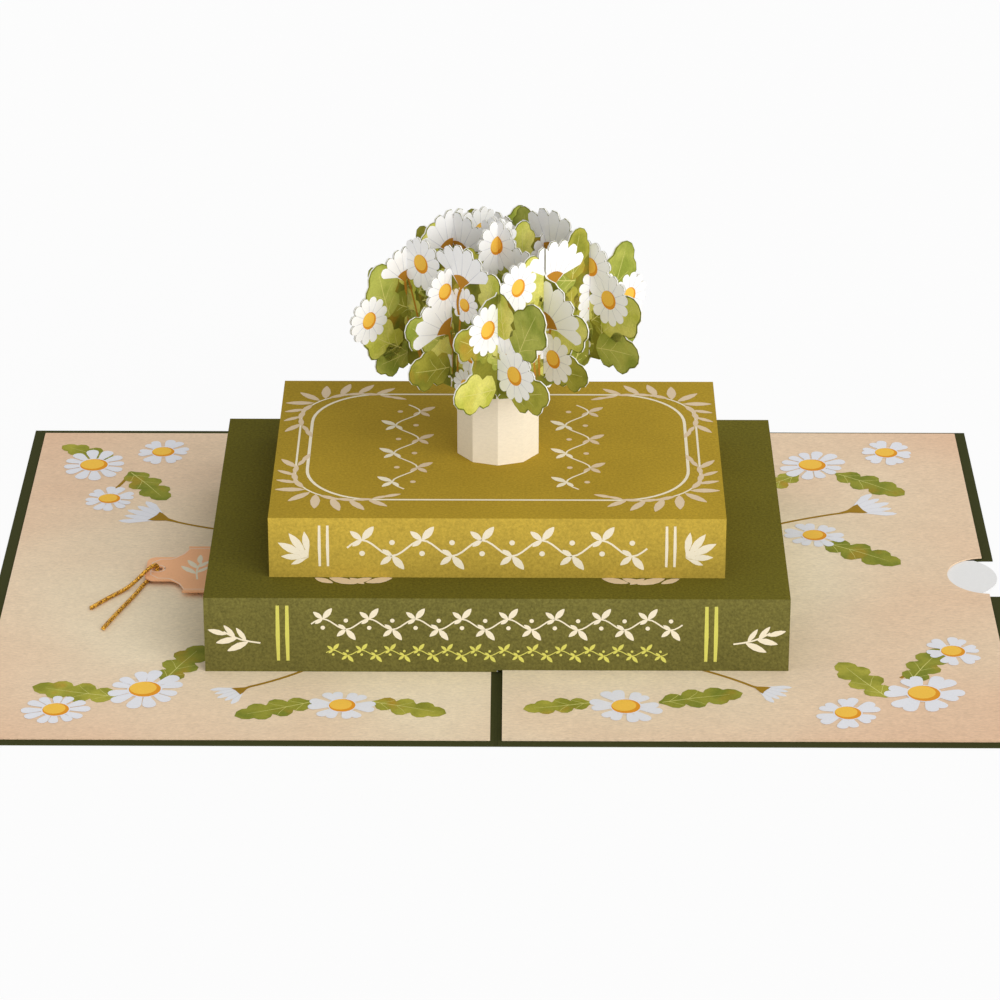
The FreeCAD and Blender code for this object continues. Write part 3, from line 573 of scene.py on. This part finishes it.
def make_liner_prints():
    liner_print(
        "left_liner_print", LEFT_TOP,
        daisies=[(-109.0, 66.0, 9.8, 8), (-91.0, 74.5, 8.0, 20), (-103.0, 45.0, 7.6, 4),
                 (-85.0, -62.0, 10.2, 14), (-105.5, -72.5, 8.4, 2), (-37.0, -70.0, 8.4, 9)],
        leaves=[(-99.0, 62.0, 21.0, -58, "moss"), (-104.0, 70.0, 17.0, 150, "olive"),
                (-91.0, -66.0, 22.0, 166, "olive"), (-81.0, -58.0, 21.0, 66, "moss"),
                (-44.0, -68.0, 20.0, 202, "moss"), (-30.0, -68.0, 19.0, -18, "olive")],
        bells=[(-84.0, 31.0, 15.5, 152), (-59.0, -60.0, 10.5, 218)],
        stems=[((-66.0, 25.0), (-86.0, 32.0), 0.8), ((-46.0, -51.0), (-60.0, -60.6), 0.6),
               ((-99.0, 60.0), (-103.0, 49.0), 0.4)])
    liner_print(
        "right_liner_print", RIGHT_TOP,
        daisies=[(103.0, -64.0, 10.4, 6), (84.0, -74.0, 8.4, 12), (112.0, -42.0, 7.8, 0),
                 (84.0, 66.0, 9.6, 16), (104.5, 74.0, 8.0, 3), (31.0, -71.0, 9.2, 10),
                 (82.0, 23.0, 8.2, 5)],
        leaves=[(94.0, -66.0, 21.0, 120, "olive"), (100.0, -58.0, 20.0, 62, "moss"),
                (90.0, 61.0, 22.0, -38, "moss"), (80.0, 60.0, 19.0, 217, "olive"),
                (84.0, 19.0, 23.0, -34, "moss"), (39.0, -69.0, 21.0, 14, "moss"),
                (23.0, -69.0, 17.0, 192, "olive")],
        bells=[(89.0, 36.0, 15.5, 26), (61.0, -60.0, 10.5, -32)],
        stems=[((66.0, 26.0), (90.0, 36.5), 0.7), ((48.0, -51.0), (62.0, -60.6), 0.5),
               ((98.0, -56.0), (108.0, -46.0), 0.3)])


# prints of the books

def rounded_frame(half_x, low, high, radius):
    """A closed line with large round corners."""
    corners = [(half_x - radius, high - radius, 0), (-half_x + radius, high - radius, 90),
               (-half_x + radius, low + radius, 180), (half_x - radius, low + radius, 270)]
    points = []
    for x, y, start in corners:
        for step in range(13):
            turn = math.radians(start + 7.5 * step)
            points.append((x + radius * math.cos(turn), y + radius * math.sin(turn)))
    return points + points[:1]


def corner_spray(sheet, half_x, edge_y, radius, side_x, side_y):
    """Two leafy twigs along one rounded corner, both from its middle, none past the book's edge."""
    centre_x = side_x * (half_x - radius)
    centre_y = edge_y - side_y * radius

    def out(turn):
        return side_x * math.cos(math.radians(turn)), side_y * math.sin(math.radians(turn))

    def leaf(turn, heading, length):
        away = out(turn)
        ahead = out(heading)
        base = (centre_x + away[0] * (radius + 0.2), centre_y + away[1] * (radius + 0.2))
        while any(abs(base[axis] + ahead[axis] * length) > TOP_PRINT_REACH[axis] for axis in (0, 1)):
            length -= 0.2
        direction = math.degrees(math.atan2(ahead[1], ahead[0]))
        sheet.shape(turned(*base, length, direction, SLIM_LEAF), "rose", 1)

    leaf(45, 45, 7.5)
    for way in (-1, 1):
        for step in range(4):
            turn = 45 + way * (7 + 17 * step)
            leaf(turn, turn + way * 38, 8.2 - 0.6 * step)
            leaf(turn + way * 4, turn + way * 100, 5.6 - 0.4 * step)
        leaf(45 + way * 72, 45 + way * 156, 5.0)


def spine_print(name, face_y, base_z, height, line, rows, band, bar, tuft_reach, bowed):
    """Bars, end sprigs and a leafy garland on the front of one book."""
    sheet = Print(name, "card", (0, face_y, base_z), (1, 0, 0), (0, 0, 1))
    middle = height / 2
    for side in (-1, 1):
        for x in (band[0], band[1]):
            sheet.ribbon([(side * x, 3.0), (side * (x + 0.06), middle), (side * x, height - 2.0)],
                         [bar * 0.75, bar, bar * 0.8], line, 0)
        base = (side * band[2], middle - band[3])
        if bowed:
            draw_branch(sheet, *base, tuft_reach, 20 if side > 0 else 160, -side, "cream", 0)
            continue
        for tilt, share in ((2, 0.80), (28, 1.0), (54, 0.96), (82, 0.84), (-24, 0.56)):
            angle = tilt if side > 0 else 180 - tilt
            sheet.shape(turned(*base, tuft_reach * share, angle, FINGER_LEAF), "cream", 0)
        sheet.shape(oval(base[0] + side * 1.2, base[1] + 1.0, 1.1, 1.1, 12), "cream", 0)
    for half_span, level, swing, leaf, colours in rows:
        draw_garland(sheet, (-half_span, level), (half_span, level), swing, leaf, colours, 0)
    return sheet.finish()


def make_book_prints():
    sheet = Print("upper_book_top_print", "card", (0, 0, UPPER_BOOK[2]), (1, 0, 0), (0, 1, 0))
    sheet.ribbon(rounded_frame(50.2, -30.6, 32.6, 15.0), 0.5, "cream", 0)
    sheet.ribbon(rounded_frame(47.3, -30.6, 32.6, 17.5), 0.75, "cream", 0)
    for side_x in (-1, 1):
        corner_spray(sheet, 50.2, 32.6, 15.0, side_x, 1)
        corner_spray(sheet, 50.2, -30.6, 15.0, side_x, -1)
    draw_garland(sheet, (-23.0, -24.5), (-23.0, 26.0), 6.0, 4.8, ["cream", "rose"], 0)
    draw_garland(sheet, (20.0, -24.5), (20.0, 26.0), 6.0, 4.8, ["cream", "rose"], 0)
    sheet.finish()
    spine_print("upper_book_spine_print", -UPPER_BOOK[1], LOWER_BOOK[2], 16.0, "cream",
                [(36.5, 8.0, 4.2, 4.7, ["cream"])], (41.2, 43.2, 45.9, 2.6), 0.75, 8.4, False)
    spine_print("lower_book_spine_print", -LOWER_BOOK[1], LEFT_TOP, 20.0, "lemon",
                [(45.0, 13.0, 2.8, 3.7, ["cream"]), (41.5, 5.2, 1.4, 2.3, ["lemon"])],
                (50.8, 53.1, 57.4, 2.2), 1.0, 9.4, True)
    sheet = Print("lower_book_top_print", "card", (0, 0, LOWER_BOOK[2]), (1, 0, 0), (0, 1, 0))
    for side in (-1, 1):
        for x, lean, reach in ((44.5, 212, 5.4), (41.0, 205, 7.6), (36.0, 222, 5.0), (30.5, -28, 6.0),
                               (25.5, -22, 7.0)):
            angle = lean if side > 0 else 180 - lean
            sheet.shape(turned(side * x, -41.4, reach, angle, PLUMP_LEAF), "rose", 0)
    sheet.finish()


# prints of the tag and the note

def make_tag_print():
    sheet = Print("bookmark_tag_print", "card", (0, 0.5, TAG_TOP), (1, 0, 0), (0, 1, 0))
    edge = [(-71.2, 11.6), (-79.2, 11.6), (-80.5, 8.6), (-82.6, 6.2), (-83.6, 5.5), (-86.2, 5.4),
            (-88.2, 3.4), (-88.4, 0.0), (-88.2, -3.4), (-86.2, -5.4), (-83.6, -5.5), (-82.6, -6.2),
            (-80.5, -8.6), (-79.2, -11.6), (-71.2, -11.6)]
    sheet.ribbon(edge, 0.35, "tag_line", 0)
    sheet.ribbon(oval(-86.8, 0.0, 2.0, 2.0, 24) + oval(-86.8, 0.0, 2.0, 2.0, 24)[:2], 0.35, "tag_line", 0)
    draw_branch(sheet, -76.2, -6.0, 10.0, 86, 1, "cream", 0)
    return sheet.finish()


def make_note_print():
    """Faint writing rules on the part of the note that comes out of the pocket."""
    sheet = Print("note_print", "note", (0, 0, NOTE_TOP), (1, 0, 0), (0, 1, 0))
    border = [(13.0, -75.0), (106.0, -75.0), (106.0, 75.0), (13.0, 75.0), (13.0, -75.0)]
    sheet.ribbon(border, 0.4, "rule", 0)
    for row in range(12):
        y = -60.0 + 10.0 * row
        sheet.ribbon([(22.0, y), (97.0, y)], 0.3, "rule", 0)
    return sheet.finish()


# the bouquet's blades

SPRAYS = {
    "blade_a_front": [
        ("daisy", -19.5, 79.5, 6.6, 0), ("leaf", -19.5, 74.5, 12.5, 152),
        ("leaf", -16.5, 63.0, 14.5, 172), ("daisy", -9.2, 87.5, 6.4, 0), ("leaf", -3.5, 82.0, 12.5, 96),
        ("bell", 3.0, 84.5, 12.0, 80), ("leaf", 9.5, 84.0, 13.5, 78), ("daisy", 18.0, 79.5, 6.2, 0),
        ("leaf", 23.5, 73.5, 16.5, 70), ("daisy", 30.0, 74.0, 6.2, 0), ("leaf", 20.0, 65.0, 13.5, -6),
    ],
    "blade_a_middle": [
        ("daisy", -0.5, 91.6, 6.8, 0), ("leaf", 8.5, 83.5, 12.0, 92), ("daisy", -18.5, 84.5, 6.0, 0),
        ("bell", -17.0, 73.0, 12.8, 125), ("leaf", -20.5, 72.0, 13.0, 146),
        ("leaf", -16.5, 64.0, 14.5, 170), ("daisy", 17.0, 84.0, 6.4, 0), ("leaf", 21.0, 76.0, 13.0, 48),
        ("daisy", 26.5, 70.0, 6.1, 0), ("leaf", 19.0, 64.0, 13.5, -4), ("leaf", -8.5, 82.5, 11.5, 104),
    ],
    "blade_a_back": [
        ("daisy", -29.0, 75.2, 6.2, 0), ("leaf", -22.0, 74.0, 15.5, 106), ("leaf", -18.0, 64.5, 15.0, 147),
        ("leaf", -14.5, 63.0, 12.5, 184), ("bell", -16.8, 82.0, 9.5, 97), ("leaf", -8.5, 84.5, 10.5, 80),
        ("bell", -1.5, 85.5, 11.5, 100), ("daisy", 9.2, 88.0, 6.4, 0), ("leaf", 18.0, 80.0, 12.5, 60),
        ("daisy", 26.5, 76.5, 6.2, 0), ("leaf", 19.5, 66.0, 13.5, 4),
    ],
    "blade_b_front": [
        ("daisy", 22.0, 68.2, 6.8, 0), ("leaf", 18.5, 76.5, 12.0, 98), ("leaf", 23.0, 73.5, 16.5, 64),
        ("leaf", 20.5, 62.0, 14.0, 22), ("daisy", -10.5, 88.0, 6.8, 0), ("bell", 3.5, 85.5, 11.5, 86),
        ("leaf", 11.5, 82.0, 11.0, 70), ("leaf", -19.0, 75.0, 12.0, 152), ("daisy", -26.0, 70.5, 6.0, 0),
        ("leaf", -17.0, 64.0, 12.5, 180),
    ],
    "blade_b_middle": [
        ("daisy", -0.5, 91.6, 6.8, 0), ("bell", -13.5, 85.0, 11.5, 82), ("leaf", -20.0, 77.5, 13.5, 125),
        ("bell", 8.0, 83.0, 10.0, 88), ("bell", 16.5, 74.5, 13.0, 54), ("leaf", 19.5, 71.0, 14.0, 38),
        ("daisy", 19.5, 67.0, 6.6, 0), ("leaf", 19.0, 64.0, 12.5, 8), ("daisy", -26.5, 71.0, 6.1, 0),
        ("leaf", -17.0, 63.5, 13.0, 178),
    ],
    "blade_b_back": [
        ("leaf", -6.0, 83.0, 12.5, 92), ("bell", 3.0, 84.5, 13.0, 96), ("daisy", 16.5, 86.0, 6.8, 0),
        ("daisy", 22.8, 79.0, 6.8, 0), ("leaf", 21.0, 70.0, 16.0, 42), ("leaf", 18.5, 65.0, 15.0, 8),
        ("leaf", -20.5, 77.0, 13.5, 112), ("bell", -15.5, 81.5, 10.0, 104), ("daisy", -27.0, 72.0, 6.1, 0),
        ("leaf", -17.0, 64.0, 13.0, 180),
    ],
}
LEAF_COLOURS = ["lime", "green", "olive", "lime", "green"]


def in_bush(x, y, scale):
    """Whether a point lies in the plate behind the flowers, scaled about its middle."""
    p = abs(x) / (BUSH_REACH[0] * scale)
    q = abs(y - BUSH_MIDDLE) / (BUSH_REACH[1] * scale)
    return p ** (2 * FULLNESS) + q ** (2 * FULLNESS) < 1


def fill_bush(sheet, draws):
    """Leaves, flowers and stalks crowded over the plate behind the outer flowers."""
    sheet.shape(lobed(0.0, BUSH_MIDDLE, *BUSH_REACH, BUSH_LOBES, BROAD_LOBE, FULLNESS), "deep", 0)
    for number in range(80):
        x = draws.uniform(-23, 23)
        y = draws.uniform(60, 89)
        reach = draws.uniform(7.5, 11.5)
        angle = draws.choice((60, 85, 115, 135, 30, 160, 200, -20)) + draws.uniform(-12, 12)
        tips = turned(x, y, reach, angle, [(0.0, 0.0), (1.0, 0.0), (0.55, 0.38), (0.55, -0.38)])
        if all(in_bush(p, q, 0.95) for p, q in tips):
            colour = draws.choice(("olive", "green", "lime", "moss"))
            draw_leaf(sheet, x, y, reach, angle, colour, 1 + number % 4)
    for _ in range(8):
        x = draws.uniform(-20, 20)
        y = draws.uniform(70, 86)
        if in_bush(x, y, 0.88):
            draw_stem(sheet, (x * 0.55, 62.0), (x, y), 0.05 * x, 0.6, "stem", 5)
    for _ in range(10):
        x = draws.uniform(-20, 20)
        y = draws.uniform(60, 86)
        if draws.random() < 0.65:
            radius = draws.uniform(4.0, 5.4)
            if in_bush(x + math.copysign(radius, x), y, 0.93) and in_bush(x, y + radius, 0.93):
                draw_daisy(sheet, x, y, radius, 6, draws.uniform(0, 30))
        elif in_bush(x, y + 9, 0.93):
            foot = (x + draws.uniform(-2, 2), y - 5)
            if in_bush(*foot, 0.85):
                draw_stem(sheet, (x, y), foot, 0.4, 0.7, "stem", 6)
            draw_bell(sheet, x, y, draws.uniform(6.0, 8.0), draws.uniform(50, 130), 6)


def blade_print(name, family, row, spray, back, seed):
    """The printed picture on one face of a blade."""
    along = Vector((DIAGONAL, DIAGONAL * family, 0))
    offset = row * BLADE_PITCH * DIAGONAL
    middle = Vector((offset, -offset * family, 0))
    outward = along.cross(Vector((0, 0, 1))) * (-1 if back else 1)
    sheet = Print(name, "card", middle + outward * (PAPER / 2),
                  -along if back else along, (0, 0, 1), mirrored=back)
    fill_bush(sheet, random.Random(seed))
    for index, (kind, x, y, reach, angle) in enumerate(spray):
        if kind == "leaf":
            draw_leaf(sheet, x, y, reach, angle, LEAF_COLOURS[(index + seed) % 5], 10)
    for kind, x, y, reach, angle in spray:
        if kind == "bell":
            if in_bush(x * 0.8, y - 7, 0.85):
                draw_stem(sheet, (x * 0.8, y - 7), (x, y), 0.8, 0.8, "stem", 12)
            draw_bell(sheet, x, y, reach, angle, 12)
    for kind, x, y, reach, angle in spray:
        if kind == "daisy":
            draw_daisy(sheet, x, y, reach, 15)
    for crossing in (-1, 0, 1):
        sheet.cut_strip(crossing * BLADE_PITCH, SLOT_HALF, BLADE_MIDDLE, family)
    return sheet.finish()


def make_bouquet_prints():
    blades = [
        ("blade_a_front", 1, 1), ("blade_a_middle", 1, 0), ("blade_a_back", 1, -1),
        ("blade_b_front", -1, -1), ("blade_b_middle", -1, 0), ("blade_b_back", -1, 1),
    ]
    for number, (name, family, row) in enumerate(blades):
        blade_print(f"{name}_print", family, row, SPRAYS[name], False, 11 + number)
        blade_print(f"{name}_reverse_print", family, row, SPRAYS[name], True, 31 + number)


# the gold cord

CORD_ROUTE = [
    (-101.9, -19.9, 1.30), (-98.2, -14.3, 1.30), (-93.9, -9.3, 1.30), (-91.3, -5.6, 2.20),
    (-89.0, -2.5, 3.55), (-86.8, 0.5, 3.75), (-86.8, 0.5, 1.30), (-87.9, -2.4, 1.30),
    (-89.7, -6.4, 1.30), (-91.6, -13.1, 1.30), (-95.0, -22.2, 1.30), (-97.9, -31.2, 1.30),
]
CORD_DIAMETER = 1.1


def cord_centreline():
    """The smooth line of the cord, read from a spline through its route."""
    curve = bpy.data.curves.new("cord_route", "CURVE")
    curve.dimensions = "3D"
    spline = curve.splines.new("NURBS")
    spline.points.add(len(CORD_ROUTE) - 1)
    for point, place in zip(spline.points, CORD_ROUTE):
        point.co = (*[value * MM for value in place], 1.0)
    spline.order_u = 3
    spline.use_endpoint_u = True
    spline.resolution_u = 24
    route = bpy.data.objects.new("cord_route", curve)
    bpy.context.scene.collection.objects.link(route)
    bpy.context.view_layer.update()
    evaluated = route.evaluated_get(bpy.context.evaluated_depsgraph_get())
    line = bpy.data.meshes.new_from_object(evaluated)
    points = [vertex.co.copy() for vertex in line.vertices]
    bpy.data.objects.remove(route)
    return points


def evenly(points, step):
    """The same line with its points an equal distance apart."""
    spaced = [points[0]]
    left = step
    for start, finish in zip(points, points[1:]):
        length = (finish - start).length
        travelled = 0.0
        while length - travelled >= left:
            travelled += left
            spaced.append(start.lerp(finish, travelled / length))
            left = step
        left -= length - travelled
    return spaced


def make_cord():
    """Strands twisted round the centre line, cut square at their ends."""
    line = evenly(cord_centreline(), RING_STEP * MM)
    strand_radius = STRAND_RADIUS * MM
    twist_radius = (CORD_DIAMETER / 2) * MM - strand_radius
    pitch = TWIST_PITCH * MM
    mesh = bmesh.new()
    direction = (line[1] - line[0]).normalized()
    normal = direction.orthogonal().normalized()
    frames = []
    for index, place in enumerate(line):
        ahead = line[min(index + 1, len(line) - 1)] - line[max(index - 1, 0)]
        ahead.normalize()
        normal = (normal - ahead * normal.dot(ahead)).normalized()
        frames.append((place, ahead, normal.copy()))
    for strand in range(STRANDS):
        rings = []
        for index, (place, ahead, across) in enumerate(frames):
            turn = 2 * math.pi * (strand / STRANDS + index * RING_STEP * MM / pitch)
            out = across * math.cos(turn) + ahead.cross(across) * math.sin(turn)
            sideways = ahead.cross(out)
            slope = 2 * math.pi * twist_radius / pitch
            tilt = (sideways - ahead * slope).normalized()
            centre = place + out * twist_radius
            ring = []
            for side in range(STRAND_SIDES):
                angle = 2 * math.pi * side / STRAND_SIDES
                ring.append(mesh.verts.new(
                    centre + (out * math.cos(angle) + tilt * math.sin(angle)) * strand_radius))
            rings.append(ring)
        for first, second in zip(rings, rings[1:]):
            for side in range(STRAND_SIDES):
                after = (side + 1) % STRAND_SIDES
                mesh.faces.new([first[side], first[after], second[after], second[side]])
        mesh.faces.new(list(reversed(rings[0])))
        mesh.faces.new(rings[-1])
    bmesh.ops.recalc_face_normals(mesh, faces=mesh.faces[:])
    for face in mesh.faces:
        face.smooth = True
    data = bpy.data.meshes.new("twisted_cord")
    mesh.to_mesh(data)
    mesh.free()
    data.materials.append(cord_metal())
    piece = bpy.data.objects.new("twisted_cord", data)
    bpy.context.scene.collection.objects.link(piece)
    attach(piece, "card")
    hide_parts("gold_cord")
    return piece


# floor, light and camera

def make_floor():
    nodes = Nodes("pale_floor")
    nodes.done(linear(240, 240, 241), 0.9, 0.0)
    rays = nodes.add("ShaderNodeLightPath")
    glow = nodes.add("ShaderNodeEmission", {"Color": (1, 1, 1, 1), "Strength": 1.0})
    share = nodes.add("ShaderNodeMath", {0: rays.outputs["Is Camera Ray"], 1: FLOOR_GLOW},
                      operation="MULTIPLY")
    mixed = nodes.add("ShaderNodeMixShader")
    nodes.feed(mixed.inputs[0], share.outputs["Value"])
    nodes.feed(mixed.inputs[1], nodes.shader.outputs["BSDF"])
    nodes.feed(mixed.inputs[2], glow.outputs["Emission"])
    nodes.feed(nodes.tree.nodes["Material Output"].inputs["Surface"], mixed.outputs["Shader"])
    mesh = bmesh.new()
    bmesh.ops.create_grid(mesh, x_segments=1, y_segments=1, size=FLOOR_HALF)
    data = bpy.data.meshes.new("floor")
    mesh.to_mesh(data)
    mesh.free()
    data.materials.append(nodes.material)
    floor = bpy.data.objects.new("floor", data)
    floor.location.z = -FLOOR_DROP
    bpy.context.scene.collection.objects.link(floor)


def make_light():
    world = bpy.data.worlds.new("studio")
    world.use_nodes = True
    bpy.context.scene.world = world
    tree = world.node_tree
    background = tree.nodes["Background"]
    rays = tree.nodes.new("ShaderNodeLightPath")
    seen = tree.nodes.new("ShaderNodeMath")
    seen.operation = "MAXIMUM"
    tree.links.new(rays.outputs["Is Camera Ray"], seen.inputs[0])
    tree.links.new(rays.outputs["Is Glossy Ray"], seen.inputs[1])
    also = tree.nodes.new("ShaderNodeMath")
    also.operation = "MAXIMUM"
    tree.links.new(seen.outputs["Value"], also.inputs[0])
    tree.links.new(rays.outputs["Is Transmission Ray"], also.inputs[1])
    strength = tree.nodes.new("ShaderNodeMapRange")
    strength.inputs["To Min"].default_value = FILL_STRENGTH
    strength.inputs["To Max"].default_value = 1.0
    tree.links.new(also.outputs["Value"], strength.inputs["Value"])
    tree.links.new(strength.outputs["Result"], background.inputs["Strength"])
    background.inputs["Color"].default_value = (1, 1, 1, 1)
    lamp = bpy.data.lights.new("key", "SUN")
    lamp.energy = KEY_ENERGY
    lamp.angle = math.radians(KEY_ANGLE)
    lamp.color = (1.0, 0.985, 0.96)
    key = bpy.data.objects.new("key", lamp)
    toward = Vector(KEY_TOWARD).normalized()
    key.rotation_euler = toward.to_track_quat("Z", "Y").to_euler()
    bpy.context.scene.collection.objects.link(key)


def make_camera():
    data = bpy.data.cameras.new("camera")
    data.sensor_width = 36.0
    data.lens = CAMERA_LENS
    camera = bpy.data.objects.new("camera", data)
    turn = Matrix((CAMERA_RIGHT, CAMERA_UPWARD, -CAMERA_AHEAD)).transposed().to_4x4()
    camera.matrix_world = Matrix.Translation(CAMERA_PLACE) @ turn
    bpy.context.scene.collection.objects.link(camera)
    bpy.context.scene.camera = camera


def dress_frame():
    """Materials of the sheets that are carried over as they are."""
    cover = paper("cover_green", linear(61, 63, 32), 0.10, 0.06)
    liner = liner_paper()
    plain = paper("white_paper", linear(243, 242, 240), 0.03, 0.02)
    lower = book_paper("lower_book_olive", linear(103, 96, 30), linear(111, 106, 53), 0.38, 0.0107, 0.010)
    upper = book_paper("upper_book_ochre", linear(176, 147, 46), linear(187, 160, 64), 0.22, 0.0287, 0.008)
    vase = paper("vase_cream", linear(252, 241, 220), 0.05, 0.02, 0.5, 0.00005, (0.5, 0.5, 1.4))
    tag = paper("tag_coral", linear(254, 193, 146), 0.05, 0.05)
    note = paper("note_white", linear(240, 240, 240), 0.02, 0.01)
    dress("cover", cover)
    dress("left_liner", liner)
    dress("right_liner", liner)
    dress("note_card", note)
    dress("lower_book", lower)
    dress("upper_book", upper)
    dress("vase", vase)
    dress("bookmark_tag", tag)
    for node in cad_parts:
        if "rib" in node:
            dress(node, plain)
    for row in ("front", "middle", "back"):
        dress(f"blade_a_{row}", blade_paper(f"blade_a_{row}_paper", (DIAGONAL, -DIAGONAL, 0)))
        dress(f"blade_b_{row}", blade_paper(f"blade_b_{row}_paper", (DIAGONAL, DIAGONAL, 0)))


make_camera()
make_cord()
dress_frame()
make_liner_prints()
make_book_prints()
make_tag_print()
make_note_print()
make_bouquet_prints()
make_floor()
make_light()
bpy.context.scene.view_settings.view_transform = "Standard"
